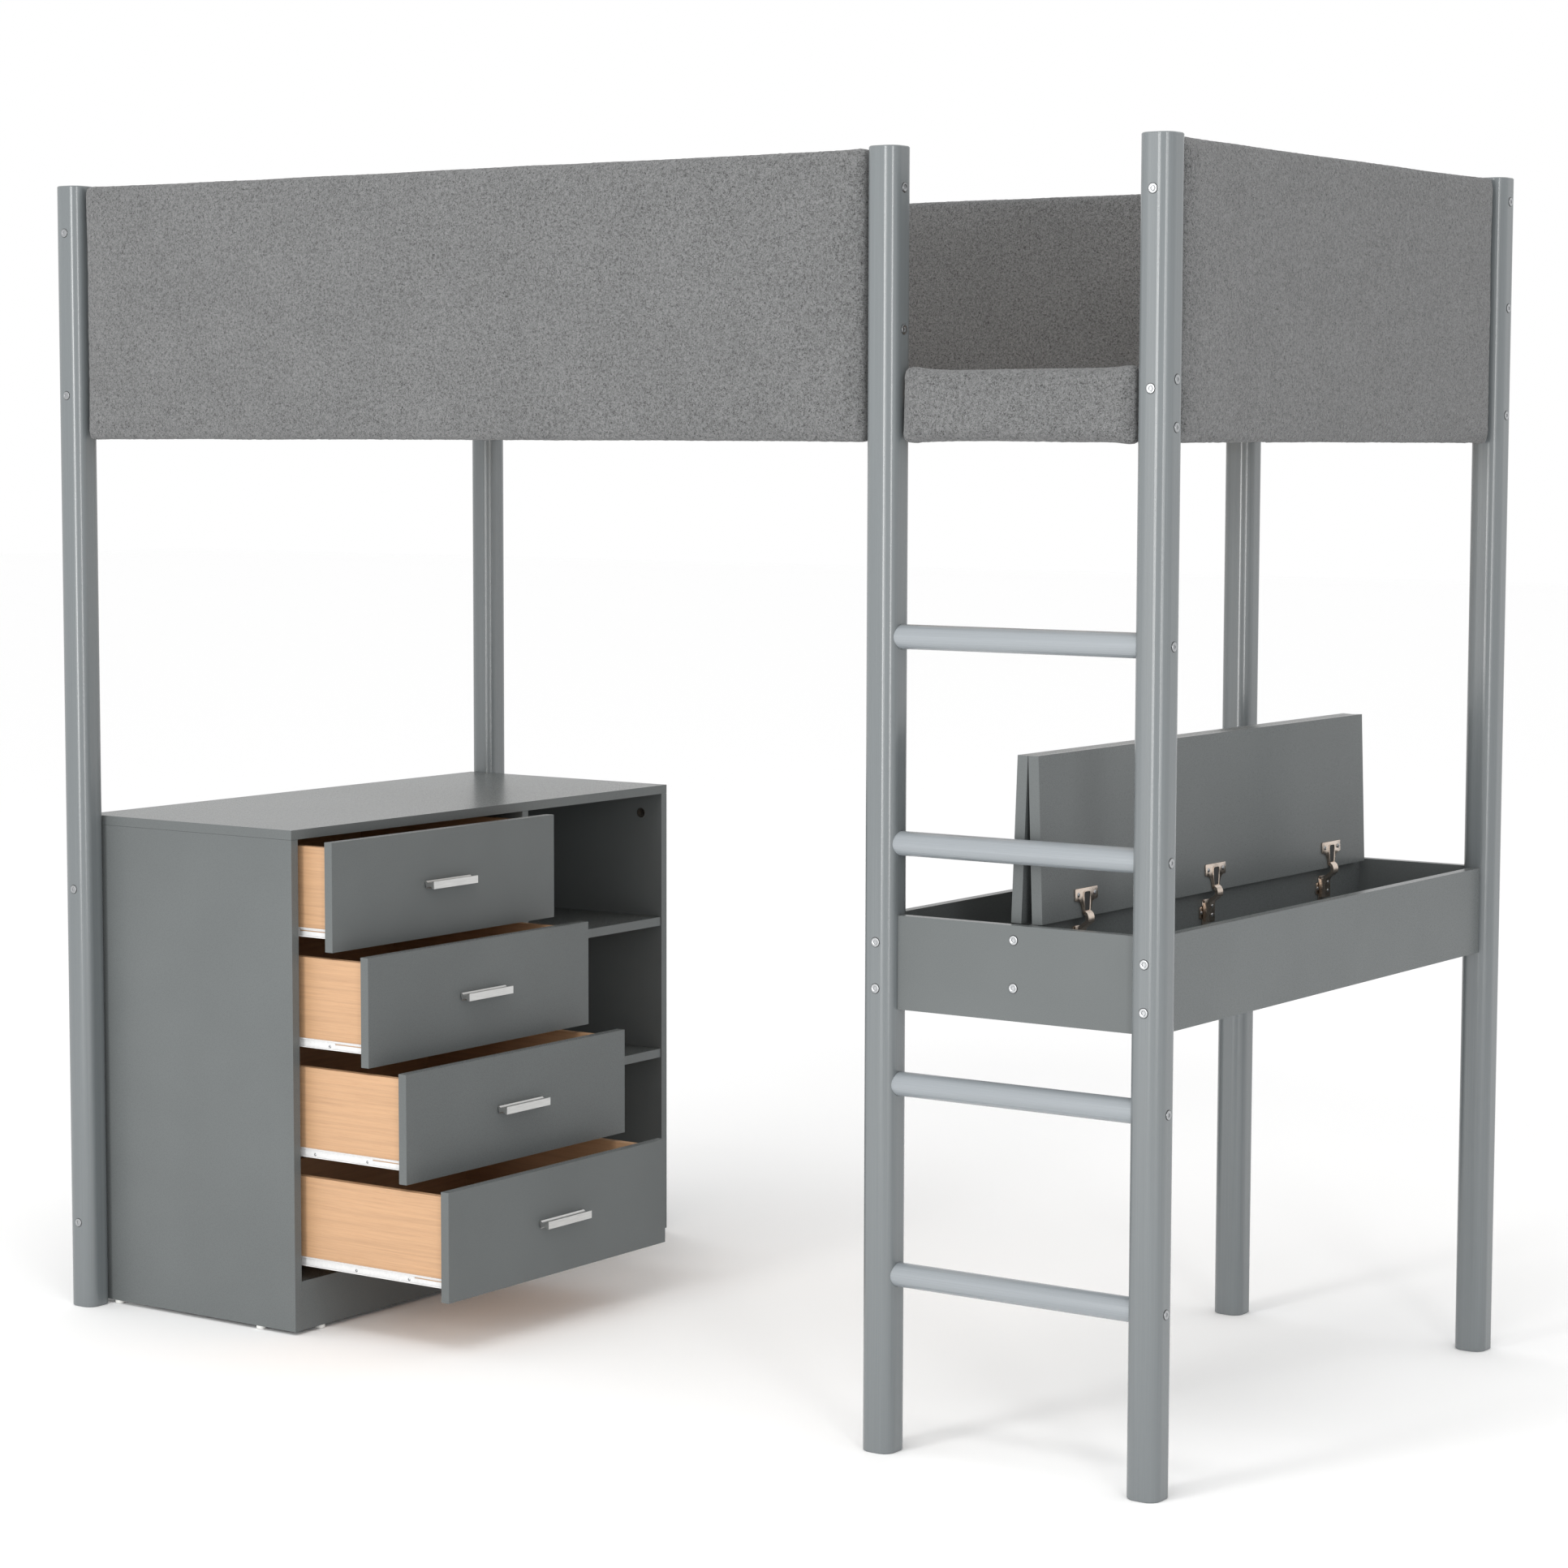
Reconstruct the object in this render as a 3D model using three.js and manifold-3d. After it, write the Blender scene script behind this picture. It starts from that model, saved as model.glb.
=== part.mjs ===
// Loft bed for one sleeper: six posts, a padded guard around the mattress, a ladder at the front,
// a shallow desk box with two flap lids between the ladder end posts, and a drawer cabinet
// under the other end.
//
// Millimetres, +Z up. The origin is on the floor in the middle of the post grid. +X runs along
// the bed towards the desk end, and -Y is the front, where the ladder is.

import * as THREE from 'three';
import { RoundedBoxGeometry } from 'three/addons/geometries/RoundedBoxGeometry.js';
import { mergeVertices } from 'three/addons/utils/BufferGeometryUtils.js';
import Module from 'manifold-3d';

const wasm = await Module();
wasm.setup();

// ---- driving dimensions ----

const GAP = 0.3; // clearance between neighbouring pieces
const WELD = 1e-4; // vertices closer than this are one
const ROUND_SIDES = 32; // facets of the rungs, cups and bores
const PIN_SIDES = 12; // facets of the small pins and bolts

// bed frame
const POST_SPAN_X = 1960; // between the centres of the end posts
const POST_SPAN_Y = 1025; // between the centres of the front and back posts
const POST_SIDE = 50;
const POST_CORNER = 18; // corner radius of the post's section
const POST_CORNER_STEPS = 8;
const POST_EDGE = 1.5; // small chamfer on the post's ends
const POST_HEIGHT = 1796;
const LADDER_X = 559; // centre of the middle posts
const RUNG_HEIGHTS = [251, 518, 851, 1134];
const RUNG_RADIUS = 17;
const RUNG_SOCKET = 4; // how far a rung is let into the post

// padded guard panels
const PAD_THICK = 36;
const PAD_ROUND = 9;
const PAD_ROUND_STEPS = 2;
const PAD_BOTTOM = 1393;
const PAD_TOP = 1799;
const LOW_PAD_TOP = 1501; // the panel that is stepped over at the ladder

// bed base
const RAIL_WIDE = 25;
const RAIL_TALL = 30;
const RAIL_BOTTOM = 1407;
const RAIL_END_GAP = 3;
const SLAT_COUNT = 13;
const SLAT_WIDE = 70;
const SLAT_THICK = 16;
const SLAT_FIRST_X = -915;
const SLAT_END_GAP = 1.3; // from a slat's end to the posts' inner faces
const STRAP_WIDE = 30;
const STRAP_RISE = 1.5;
const STRAP_Y = 330;

// desk box
const BOARD = 15; // thickness of every flat board
const DESK_BOTTOM = 622;
const DESK_TOP = 752;
const DESK_X = (LADDER_X + POST_SPAN_X / 2) / 2; // the divider's centre line
const DIVIDER_BOTTOM = 646;
const DIVIDER_TOP = 747; // low enough for the lids to swing over
const DESK_FLOOR_THICK = 12;

// lids and their hinges; u runs from the hinge edge across the lid, w up from its underside
const LID_WIDE = 228;
const LID_LONG = 972;
const LID_THICK = 16;
const LID_SHUT_EDGE = 1.3; // shut: from the centre line to the hinge edge
const LID_SHUT_UNDER = DESK_TOP + 0.4; // shut: height of the underside
const LID_OPEN_FACE = 24.5; // open: from the centre line to the lower corner of the outer face
const LID_OPEN_LOW = 751; // open: height of that corner
const LID_OPEN_TOP_GAP = 0.35; // open: from the centre line to the inner face's top corner
const HINGE_Y = [-370, 0, 370];
const CUP_U = 22; // from the lid's edge to the cup's centre
const CUP_RADIUS = 17.2;
const CUP_WALL = 0.7;
const CUP_DEPTH = 14.1;
const CUP_PIN_RADIUS = 1;
const FLANGE_THICK = 1.2;
const FLANGE_LIP = 1.8; // how far the rim reaches past the cup
const WING_U = 31.5; // from the lid's edge to the line of the screw wings
const WING_HALF_WIDE = 6;
const WING_HALF_LONG = 25;
const ARM_WIDE = 12;
const ARM_THICK = 1.4;
const ARM_BENDS = [[13.4, -3.8], [19.5, -10.5], [19.5, -19]]; // from the pin, outwards and up
const EYE_RADIUS = 2.3; // the rolled end of the arm, round the pin
const PLATE_BOTTOM = 700;
const PLATE_TOP = 737;
const PLATE_THICK = 2;
const PLATE_WIDE = 34;
const BODY_DEEP = 9; // the raised body on the plate
const BODY_BOTTOM = 705;
const BODY_TOP = 733;
const PLATE_BOLT_RADIUS = 2.2;
const PLATE_BOLT_HEIGHTS = [708, 729];

// drawer cabinet
const CAB_BACK = -1000;
const CAB_FRONT = -558;
const CAB_HALF = 487.2; // it stands between the end posts, bolted to them
const CAB_BOTTOM = 6;
const CAB_TOP = 796;
const CAB_FLOOR_TOP = 84;
const CAB_BACK_THICK = 5;
const PLINTH_SET_BACK = 1;
const DIVISION_Y = 91; // centre of the upright between drawers and shelves
const SHELF_TOPS = [563, 329];
const SHELF_SET_BACK = 2;
const GLIDE_RADIUS = 7.2; // the small feet that keep the boards off the floor
const SIDE_GLIDES_X = [-946, -637];
const PLINTH_GLIDES_Y = [-421, 421];

// drawers, from the top one down
const DRAWER_OPENINGS = [68, 140, 215, 298];
const FRONT_PITCH = 173.5;
const FRONT_TALL = 171;
const FRONT_TOP = 779.5;
const FRONT_SIDE_GAP = 2;
const SLIDE_SPACE = 12.5; // beside the box, for the slides
const BOX_LONG = 400;
const BOX_TALL = 140;
const BOX_RISE = 21; // from the front's lower edge to the box's lower edge
const BOX_WALL = 12;
const BOX_FLOOR_RISE = 8;
const BOX_FLOOR_THICK = 4;
const HANDLE_LONG = 110;
const HANDLE_DEEP = 18.6;
const HANDLE_TALL = 12;
const HANDLE_LIP = 3;
const HANDLE_GROOVE = 3.4;

// ---- places worked out from the above ----

const endX = POST_SPAN_X / 2;
const sideY = POST_SPAN_Y / 2;
const halfPost = POST_SIDE / 2;
const innerY = sideY - halfPost; // the posts' inner faces
const lidLean = Math.asin((LID_OPEN_FACE - LID_THICK - LID_OPEN_TOP_GAP) / LID_WIDE);
const lidSwing = Math.PI / 2 + lidLean;
const pivot = pivotOfSwing();

// The one point that carries the lid's hinge edge from its shut place to its open place.
function pivotOfSwing() {
  const across = LID_OPEN_FACE - LID_SHUT_EDGE;
  const up = LID_OPEN_LOW - LID_SHUT_UNDER;
  const reach = 0.5 / Math.tan(lidSwing / 2);
  return {
    x: (LID_OPEN_FACE + LID_SHUT_EDGE) / 2 - up * reach,
    z: (LID_OPEN_LOW + LID_SHUT_UNDER) / 2 + across * reach,
  };
}

// ---- finishes ----

function finish(colour, roughness, metalness = 0) {
  return new THREE.MeshStandardMaterial({ color: colour, roughness, metalness });
}

const finishes = {
  post: finish(0x7d8383, 0.4),
  board: finish(0x747a7a, 0.45),
  pad: finish(0x808080, 0.95),
  slat: finish(0xd9b98c, 0.6),
  drawerBox: finish(0xeebe91, 0.5),
  handle: finish(0xc8c8c3, 0.35, 1),
  hinge: finish(0x96806c, 0.3, 1),
};

// ---- shape helpers ----

function toSolid(geometry) {
  const bare = geometry.index ? geometry.toNonIndexed() : geometry.clone();
  bare.deleteAttribute('normal');
  bare.deleteAttribute('uv');
  const merged = mergeVertices(bare, WELD);
  return new wasm.Manifold(new wasm.Mesh({
    numProp: 3,
    vertProperties: Float32Array.from(merged.attributes.position.array),
    triVerts: Uint32Array.from(merged.index.array),
  }));
}

function toGeometry(solid) {
  const mesh = solid.getMesh();
  const geometry = new THREE.BufferGeometry();
  geometry.setAttribute('position', new THREE.BufferAttribute(mesh.vertProperties, 3));
  geometry.setIndex(new THREE.BufferAttribute(mesh.triVerts, 1));
  return geometry;
}

// A box between two corners.
function boxBetween(low, high) {
  const size = high.map((value, i) => value - low[i]);
  const middle = high.map((value, i) => (value + low[i]) / 2);
  return new THREE.BoxGeometry(...size).translate(...middle);
}

// A round bar along X or Y, centred on the origin.
function bar(radius, length, axis, sides = ROUND_SIDES) {
  const geometry = new THREE.CylinderGeometry(radius, radius, length, sides);
  return axis === 'x' ? geometry.rotateZ(Math.PI / 2) : geometry;
}

// A round bar standing on Z, centred on the origin.
function upright(radius, length) {
  return new THREE.CylinderGeometry(radius, radius, length, ROUND_SIDES).rotateX(Math.PI / 2);
}

// An outline in X and Z, extruded along Y and centred on Y = 0.
function extrudeAlongY(shape, length, curveSegments = 8) {
  const geometry = new THREE.ExtrudeGeometry(shape, { depth: length, bevelEnabled: false, curveSegments });
  return geometry.translate(0, 0, -length / 2).rotateX(Math.PI / 2);
}

function node(name, geometry, material, place = [0, 0, 0]) {
  const mesh = new THREE.Mesh(geometry, material);
  mesh.name = name;
  mesh.position.set(...place);
  return mesh;
}

// ---- bed frame ----

function postGeometry() {
  const flat = halfPost - POST_CORNER;
  const outline = new THREE.Shape();
  const corners = [[flat, flat], [-flat, flat], [-flat, -flat], [flat, -flat]];
  corners.forEach(([x, y], i) => {
    const start = i * Math.PI / 2;
    outline.absarc(x, y, POST_CORNER - POST_EDGE, start, start + Math.PI / 2, false);
  });
  return new THREE.ExtrudeGeometry(outline, {
    depth: POST_HEIGHT - 2 * POST_EDGE,
    bevelThickness: POST_EDGE,
    bevelSize: POST_EDGE,
    bevelSegments: 1,
    curveSegments: POST_CORNER_STEPS,
  }).translate(0, 0, POST_EDGE);
}

// A post with sockets for the rungs on its +X side or its -X side.
function socketedPost(side) {
  let post = toSolid(postGeometry());
  for (const height of RUNG_HEIGHTS) {
    const cutter = bar(RUNG_RADIUS + GAP, 2 * (RUNG_SOCKET + GAP), 'x');
    post = post.subtract(toSolid(cutter.translate(side * halfPost, 0, height)));
  }
  return toGeometry(post);
}

function posts() {
  const material = finishes.post;
  return [
    node('post_front_left', postGeometry(), material, [-endX, -sideY, 0]),
    node('post_back_left', postGeometry(), material, [-endX, sideY, 0]),
    node('post_front_middle', socketedPost(1), material, [LADDER_X, -sideY, 0]),
    node('post_back_middle', postGeometry(), material, [LADDER_X, sideY, 0]),
    node('post_front_right', socketedPost(-1), material, [endX, -sideY, 0]),
    node('post_back_right', postGeometry(), material, [endX, sideY, 0]),
  ];
}

function rungs() {
  const length = endX - LADDER_X - POST_SIDE + 2 * RUNG_SOCKET;
  return RUNG_HEIGHTS.map((height, i) => node(
    `rung_${i + 1}`, bar(RUNG_RADIUS, length, 'x'), finishes.post, [DESK_X, -sideY, height],
  ));
}

// ---- padded guard ----

function pad(name, from, to, line, axis, top = PAD_TOP) {
  const length = to - from - POST_SIDE - 2 * GAP;
  const tall = top - PAD_BOTTOM;
  const size = axis === 'x' ? [length, PAD_THICK, tall] : [PAD_THICK, length, tall];
  const middle = (from + to) / 2;
  const place = axis === 'x' ? [middle, line, 0] : [line, middle, 0];
  place[2] = PAD_BOTTOM + tall / 2;
  return node(name, new RoundedBoxGeometry(...size, PAD_ROUND_STEPS, PAD_ROUND), finishes.pad, place);
}

function pads() {
  return [
    pad('pad_front_long', -endX, LADDER_X, -sideY, 'x'),
    pad('pad_ladder_low', LADDER_X, endX, -sideY, 'x', LOW_PAD_TOP),
    pad('pad_back_long', -endX, LADDER_X, sideY, 'x'),
    pad('pad_back_short', LADDER_X, endX, sideY, 'x'),
    pad('pad_left_end', -sideY, sideY, -endX, 'y'),
    pad('pad_right_end', -sideY, sideY, endX, 'y'),
  ];
}

// ---- bed base ----

function rail(name, side) {
  const length = POST_SPAN_X - PAD_THICK - 2 * RAIL_END_GAP;
  const y = side * (innerY - GAP - RAIL_WIDE / 2);
  const geometry = new THREE.BoxGeometry(length, RAIL_WIDE, RAIL_TALL);
  return node(name, geometry, finishes.slat, [0, y, RAIL_BOTTOM + RAIL_TALL / 2]);
}

// Slats on two straps, so that the base unrolls as one piece.
function slatRoll() {
  const slatLong = 2 * (innerY - SLAT_END_GAP);
  const spacing = -2 * SLAT_FIRST_X / (SLAT_COUNT - 1);
  let roll = null;
  for (let i = 0; i < SLAT_COUNT; i += 1) {
    const slat = new THREE.BoxGeometry(SLAT_WIDE, slatLong, SLAT_THICK);
    const solid = toSolid(slat.translate(SLAT_FIRST_X + i * spacing, 0, SLAT_THICK / 2));
    roll = roll ? roll.add(solid) : solid;
  }
  for (const side of [-1, 1]) {
    const strap = new THREE.BoxGeometry(-2 * SLAT_FIRST_X, STRAP_WIDE, 2 * STRAP_RISE);
    roll = roll.add(toSolid(strap.translate(0, side * STRAP_Y, SLAT_THICK)));
  }
  const place = [0, 0, RAIL_BOTTOM + RAIL_TALL + GAP];
  return node('slat_roll', toGeometry(roll), finishes.slat, place);
}

// ---- desk box ----

function deskBoards() {
  const tall = DESK_TOP - DESK_BOTTOM;
  const z = (DESK_TOP + DESK_BOTTOM) / 2;
  const across = endX - LADDER_X - POST_SIDE - 2 * GAP;
  const along = 2 * (innerY - GAP);
  const long = new THREE.BoxGeometry(BOARD, along, tall);
  const short = new THREE.BoxGeometry(across, BOARD, tall);
  return [
    node('desk_front', short, finishes.board, [DESK_X, -sideY, z]),
    node('desk_back', short, finishes.board, [DESK_X, sideY, z]),
    node('desk_left', long, finishes.board, [LADDER_X, 0, z]),
    node('desk_right', long, finishes.board, [endX, 0, z]),
  ];
}

// The desk floor fills the box and runs between the posts at its front and back.
function deskFloor() {
  const edgeX = (endX - LADDER_X - BOARD) / 2 - GAP;
  const neckX = (endX - LADDER_X - POST_SIDE) / 2 - GAP;
  const neckY = innerY - GAP;
  const edgeY = sideY - BOARD / 2 - GAP;
  const outline = new THREE.Shape([
    [-edgeX, -neckY], [-neckX, -neckY], [-neckX, -edgeY], [neckX, -edgeY], [neckX, -neckY], [edgeX, -neckY],
    [edgeX, neckY], [neckX, neckY], [neckX, edgeY], [-neckX, edgeY], [-neckX, neckY], [-edgeX, neckY],
  ].map(([x, y]) => new THREE.Vector2(x, y)));
  const geometry = new THREE.ExtrudeGeometry(outline, { depth: DESK_FLOOR_THICK, bevelEnabled: false });
  const z = DIVIDER_BOTTOM - GAP - DESK_FLOOR_THICK;
  return node('desk_floor', geometry, finishes.board, [DESK_X, 0, z]);
}

function deskDivider() {
  const y = sideY - BOARD / 2 - GAP;
  let board = toSolid(boxBetween([-BOARD / 2, -y, DIVIDER_BOTTOM], [BOARD / 2, y, DIVIDER_TOP]));
  for (const hingeY of HINGE_Y) {
    for (const z of PLATE_BOLT_HEIGHTS) {
      const hole = bar(PLATE_BOLT_RADIUS + GAP, 2 * BOARD, 'x', PIN_SIDES).translate(0, hingeY, z);
      board = board.subtract(toSolid(hole));
    }
  }
  return node('desk_divider', toGeometry(board), finishes.board, [DESK_X, 0, 0]);
}

// ---- lids and hinges ----

// The arm's middle line in the XZ plane, from the pin, out of the cup and down to the plate.
function armLine() {
  const outside = BOARD / 2 + GAP + PLATE_THICK + BODY_DEEP;
  return [
    [pivot.x, pivot.z],
    ...ARM_BENDS.map(([out, up]) => [pivot.x + out, pivot.z + up]),
    [outside, BODY_TOP],
    [outside, BODY_BOTTOM],
  ].map(([x, z]) => new THREE.Vector2(x, z));
}

// A strip of even thickness along a line, as a closed outline.
function stripOutline(line, thick) {
  const flanks = line.map((_, i) => {
    const before = line[Math.max(i - 1, 0)];
    const after = line[Math.min(i + 1, line.length - 1)];
    const along = after.clone().sub(before).normalize();
    return new THREE.Vector2(-along.y, along.x).multiplyScalar(thick / 2);
  });
  const left = line.map((point, i) => point.clone().add(flanks[i]));
  const right = line.map((point, i) => point.clone().sub(flanks[i])).reverse();
  return new THREE.Shape([...left, ...right]);
}

// One side of a hinge base: mounting plate, raised body and the arm with its eye.
function hingeArm() {
  const face = BOARD / 2 + GAP;
  const halfPlate = PLATE_WIDE / 2;
  const halfArm = ARM_WIDE / 2;
  const outside = face + PLATE_THICK + BODY_DEEP;
  const plate = boxBetween([face, -halfPlate, PLATE_BOTTOM], [face + PLATE_THICK, halfPlate, PLATE_TOP]);
  const body = boxBetween([face, -halfArm, BODY_BOTTOM], [outside, halfArm, BODY_TOP]);
  const strip = extrudeAlongY(stripOutline(armLine(), ARM_THICK), ARM_WIDE);
  const eye = bar(EYE_RADIUS, ARM_WIDE, 'y', PIN_SIDES).translate(pivot.x, 0, pivot.z);
  const hole = bar(CUP_PIN_RADIUS + GAP, 2 * ARM_WIDE, 'y', PIN_SIDES).translate(pivot.x, 0, pivot.z);
  return toSolid(plate).add(toSolid(body)).add(toSolid(strip)).add(toSolid(eye)).subtract(toSolid(hole));
}

// A hinge base: the two arms, back to back, held by bolts through the divider.
function hingeBase(name, y) {
  const arm = toGeometry(hingeArm());
  const boltLong = BOARD + 2 * (GAP + PLATE_THICK / 2);
  let base = toSolid(arm).add(toSolid(arm.clone().rotateZ(Math.PI)));
  for (const z of PLATE_BOLT_HEIGHTS) {
    base = base.add(toSolid(bar(PLATE_BOLT_RADIUS, boltLong, 'x', PIN_SIDES).translate(0, 0, z)));
  }
  return node(name, toGeometry(base), finishes.hinge, [DESK_X, y, 0]);
}

// A lid lying shut, hinge edge on u = 0 and underside on w = 0, with its cup bores.
function lidGeometry() {
  let lid = toSolid(boxBetween([0, -LID_LONG / 2, 0], [LID_WIDE, LID_LONG / 2, LID_THICK]));
  for (const y of HINGE_Y) {
    const bore = upright(CUP_RADIUS + GAP, 2 * (CUP_DEPTH + GAP)).translate(CUP_U, y, 0);
    lid = lid.subtract(toSolid(bore));
  }
  return toGeometry(lid);
}

// A hinge cup: a turned shell with a rim, two screw wings and the pin across it.
function cupGeometry() {
  const inner = CUP_RADIUS - CUP_WALL;
  const rim = CUP_RADIUS + FLANGE_LIP;
  const under = -GAP - FLANGE_THICK;
  const profile = [
    [0, CUP_DEPTH], [CUP_RADIUS, CUP_DEPTH], [CUP_RADIUS, -GAP], [rim, -GAP], [rim, under],
    [inner, under], [inner, CUP_DEPTH - CUP_WALL], [0, CUP_DEPTH - CUP_WALL],
  ].map(([r, w]) => new THREE.Vector2(r, w));
  profile.reverse();
  const shell = new THREE.LatheGeometry(profile, ROUND_SIDES).rotateX(Math.PI / 2);
  const wings = boxBetween([-WING_HALF_WIDE, -WING_HALF_LONG, under], [WING_HALF_WIDE, WING_HALF_LONG, -GAP]);
  wings.translate(WING_U - CUP_U, 0, 0);
  const mouth = upright(inner, 10 * FLANGE_THICK);
  const pin = bar(CUP_PIN_RADIUS, 2 * inner, 'y', PIN_SIDES);
  pin.translate(pivot.x - LID_SHUT_EDGE - CUP_U, 0, pivot.z - LID_SHUT_UNDER);
  const limit = upright(inner + CUP_WALL / 3, 4 * CUP_DEPTH);
  const flange = toSolid(wings).subtract(toSolid(mouth));
  const trimmedPin = toSolid(pin).intersect(toSolid(limit));
  return toGeometry(toSolid(shell).add(flange).add(trimmedPin));
}

// A lid and its cups, turned from shut to standing open about the hinge pin.
function lid(side, turn) {
  const shut = new THREE.Group();
  shut.position.set(LID_SHUT_EDGE - pivot.x, 0, LID_SHUT_UNDER - pivot.z);
  shut.add(node(`lid_${side}`, lidGeometry(), finishes.board));
  const places = turn ? [...HINGE_Y].reverse() : HINGE_Y;
  const stations = ['front', 'middle', 'back'];
  places.forEach((y, i) => {
    shut.add(node(`hinge_cup_${side}_${stations[i]}`, cupGeometry(), finishes.hinge, [CUP_U, y, 0]));
  });
  const swing = new THREE.Group();
  swing.position.set(pivot.x, 0, pivot.z);
  swing.rotation.y = -lidSwing;
  swing.add(shut);
  const desk = new THREE.Group();
  desk.position.set(DESK_X, 0, 0);
  desk.rotation.z = turn;
  desk.add(swing);
  return desk;
}

// ---- drawer cabinet ----

// A board that may stand on glides, given as points in X and Y.
function cabinetBoard(low, high, glides = []) {
  let board = toSolid(boxBetween(low, high));
  for (const [x, y] of glides) {
    board = board.add(toSolid(upright(GLIDE_RADIUS, 2 * CAB_BOTTOM).translate(x, y, CAB_BOTTOM)));
  }
  return toGeometry(board);
}

function cabinetBoards() {
  const side = CAB_HALF - BOARD;
  const under = CAB_TOP - BOARD - GAP;
  const inBack = CAB_BACK + CAB_BACK_THICK + GAP;
  const inner = side - GAP;
  const halfBoard = BOARD / 2;
  const shelfLow = DIVISION_Y + halfBoard + GAP;
  const shelfFront = CAB_FRONT - SHELF_SET_BACK;
  const [upper, lower] = SHELF_TOPS;
  const sideGlides = (y) => SIDE_GLIDES_X.map((x) => [x, y]);
  const plinthX = CAB_FRONT - PLINTH_SET_BACK - halfBoard;
  const boards = {
    cabinet_top: [[CAB_BACK, -CAB_HALF, CAB_TOP - BOARD], [CAB_FRONT, CAB_HALF, CAB_TOP]],
    cabinet_side_front: [
      [CAB_BACK, -CAB_HALF, CAB_BOTTOM],
      [CAB_FRONT, -side, under],
      sideGlides(-CAB_HALF + halfBoard),
    ],
    cabinet_side_back: [
      [CAB_BACK, side, CAB_BOTTOM],
      [CAB_FRONT, CAB_HALF, under],
      sideGlides(CAB_HALF - halfBoard),
    ],
    cabinet_back: [[CAB_BACK, -inner, CAB_FLOOR_TOP - BOARD], [CAB_BACK + CAB_BACK_THICK, inner, under]],
    cabinet_floor: [[inBack, -inner, CAB_FLOOR_TOP - BOARD], [CAB_FRONT, inner, CAB_FLOOR_TOP]],
    cabinet_plinth: [
      [CAB_FRONT - PLINTH_SET_BACK - BOARD, -inner, CAB_BOTTOM],
      [CAB_FRONT - PLINTH_SET_BACK, inner, CAB_FLOOR_TOP - BOARD - GAP],
      PLINTH_GLIDES_Y.map((y) => [plinthX, y]),
    ],
    cabinet_division: [
      [inBack, DIVISION_Y - halfBoard, CAB_FLOOR_TOP + GAP],
      [CAB_FRONT, DIVISION_Y + halfBoard, under],
    ],
    cabinet_shelf_upper: [[inBack, shelfLow, upper - BOARD], [shelfFront, inner, upper]],
    cabinet_shelf_lower: [[inBack, shelfLow, lower - BOARD], [shelfFront, inner, lower]],
  };
  return Object.entries(boards).map(([name, board]) => node(name, cabinetBoard(...board), finishes.board));
}

// ---- drawers ----

function handleOutline() {
  const half = HANDLE_TALL / 2;
  const grooveHalf = (HANDLE_DEEP - 2 * HANDLE_LIP) / 2;
  const middle = HANDLE_DEEP / 2;
  const radius = (grooveHalf ** 2 + HANDLE_GROOVE ** 2) / (2 * HANDLE_GROOVE);
  const spread = Math.asin(grooveHalf / radius);
  const rise = half + radius - HANDLE_GROOVE;
  const outline = new THREE.Shape();
  outline.moveTo(0, -half);
  outline.absarc(middle, -rise, radius, Math.PI / 2 + spread, Math.PI / 2 - spread, true);
  outline.lineTo(HANDLE_DEEP, -half);
  outline.lineTo(HANDLE_DEEP, half);
  outline.absarc(middle, rise, radius, -Math.PI / 2 + spread, -Math.PI / 2 - spread, true);
  outline.lineTo(0, half);
  outline.closePath();
  return outline;
}

// An open-topped box whose front is closed by the drawer front, with a raised thin floor.
function drawerBoxGeometry(wide) {
  const half = wide / 2;
  const outer = toSolid(boxBetween([-BOX_LONG, -half, 0], [0, half, BOX_TALL]));
  const upper = boxBetween(
    [-BOX_LONG + BOX_WALL, -half + BOX_WALL, BOX_FLOOR_RISE + BOX_FLOOR_THICK],
    [BOX_WALL, half - BOX_WALL, BOX_TALL + BOX_WALL],
  );
  const lower = boxBetween(
    [-BOX_LONG + BOX_WALL, -half + BOX_WALL, -BOX_WALL],
    [BOX_WALL, half - BOX_WALL, BOX_FLOOR_RISE],
  );
  return toGeometry(outer.subtract(toSolid(upper)).subtract(toSolid(lower)));
}

function drawer(index) {
  const left = -CAB_HALF + BOARD;
  const right = DIVISION_Y - BOARD / 2;
  const middle = (left + right) / 2;
  const wide = right - left;
  const face = CAB_FRONT + DRAWER_OPENINGS[index];
  const top = FRONT_TOP - index * FRONT_PITCH;
  const bottom = top - FRONT_TALL;
  const halfFront = wide / 2 - FRONT_SIDE_GAP;
  const front = boxBetween([face - BOARD, middle - halfFront, bottom], [face, middle + halfFront, top]);
  const box = drawerBoxGeometry(wide - 2 * SLIDE_SPACE);
  const handle = extrudeAlongY(handleOutline(), HANDLE_LONG);
  const name = `drawer_${index + 1}`;
  return [
    node(`${name}_front`, front, finishes.board),
    node(`${name}_box`, box, finishes.drawerBox, [face - BOARD - GAP, middle, bottom + BOX_RISE]),
    node(`${name}_handle`, handle, finishes.handle, [face + GAP, middle, (top + bottom) / 2]),
  ];
}

// ---- the assembly ----

const loftBed = new THREE.Group();
loftBed.add(...posts(), ...rungs(), ...pads());
loftBed.add(rail('bed_rail_front', -1), rail('bed_rail_back', 1), slatRoll());
loftBed.add(...deskBoards(), deskFloor(), deskDivider());
loftBed.add(
  hingeBase('hinge_base_front', HINGE_Y[0]),
  hingeBase('hinge_base_middle', HINGE_Y[1]),
  hingeBase('hinge_base_back', HINGE_Y[2]),
);
loftBed.add(lid('right', 0), lid('left', Math.PI));
loftBed.add(...cabinetBoards());
DRAWER_OPENINGS.forEach((_, index) => loftBed.add(...drawer(index)));

export default loftBed;
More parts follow.
